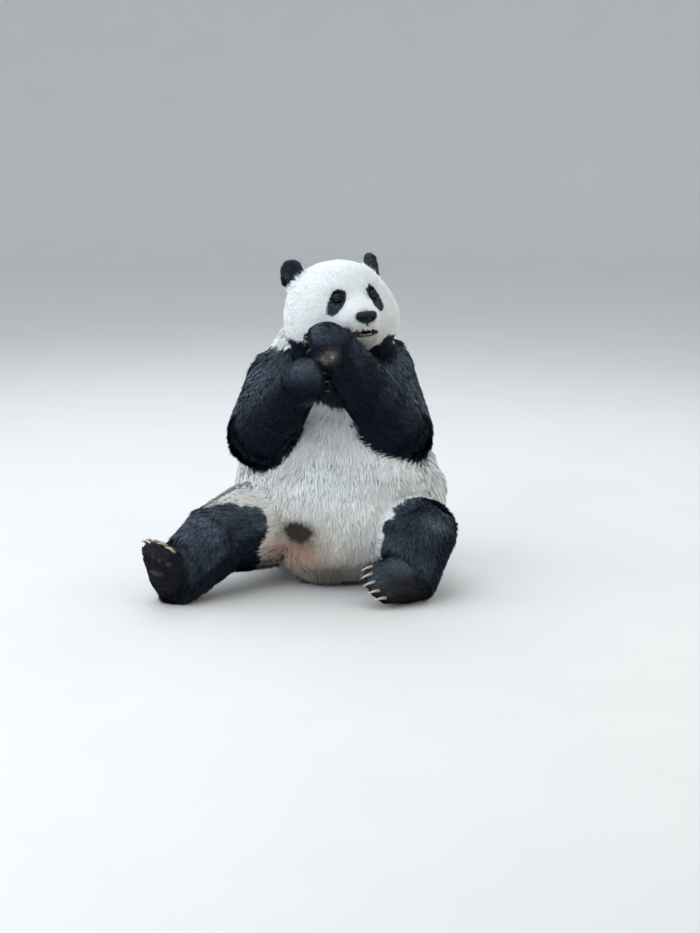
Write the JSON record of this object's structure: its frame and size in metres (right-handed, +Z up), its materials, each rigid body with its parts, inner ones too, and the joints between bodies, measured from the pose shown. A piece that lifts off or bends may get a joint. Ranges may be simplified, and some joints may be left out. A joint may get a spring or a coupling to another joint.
{
  "type": "giant panda",
  "caption": "Life-size giant panda sitting back on its rump, both forepaws raised to its mouth, one hind leg stretched out sideways and the other folded in front.",
  "frame": {"origin": "on the floor, under the middle of the bounding box", "axes": "+Z up; the belly faces -Y, the animal's own left is at +X"},
  "size_m": [0.8692, 0.675, 0.9219],
  "materials": {
    "white_coat": "matt, dense fur",
    "black_coat": "matt, dense fur",
    "nose_leather": "moist satin",
    "eye": "gloss",
    "tongue": "moist",
    "claw_horn": "satin"
  },
  "bodies": {
    "root": {"trunk": "white_coat", "neck": "white_coat", "head": "white_coat", "jaw": "white_coat", "tail": "white_coat", "tongue": "tongue", "nose": "nose_leather", "eye_R": "eye", "ear_R": "black_coat", "thigh_R": "white_coat", "shin_R": "black_coat", "foot_R": "black_coat", "upper_arm_R": "black_coat", "forearm_R": "black_coat", "paw_R": "black_coat", "claw_hind_R_1": "claw_horn", "claw_hind_R_2": "claw_horn", "claw_hind_R_3": "claw_horn", "claw_hind_R_4": "claw_horn", "claw_hind_R_5": "claw_horn", "claw_fore_R_1": "claw_horn", "claw_fore_R_2": "claw_horn", "claw_fore_R_3": "claw_horn", "claw_fore_R_4": "claw_horn", "claw_fore_R_5": "claw_horn", "eye_L": "eye", "ear_L": "black_coat", "thigh_L": "white_coat", "shin_L": "black_coat", "foot_L": "black_coat", "upper_arm_L": "black_coat", "forearm_L": "black_coat", "paw_L": "black_coat", "claw_hind_L_1": "claw_horn", "claw_hind_L_2": "claw_horn", "claw_hind_L_3": "claw_horn", "claw_hind_L_4": "claw_horn", "claw_hind_L_5": "claw_horn", "claw_fore_L_1": "claw_horn", "claw_fore_L_2": "claw_horn", "claw_fore_L_3": "claw_horn", "claw_fore_L_4": "claw_horn", "claw_fore_L_5": "claw_horn"}
  },
  "joints": []
}
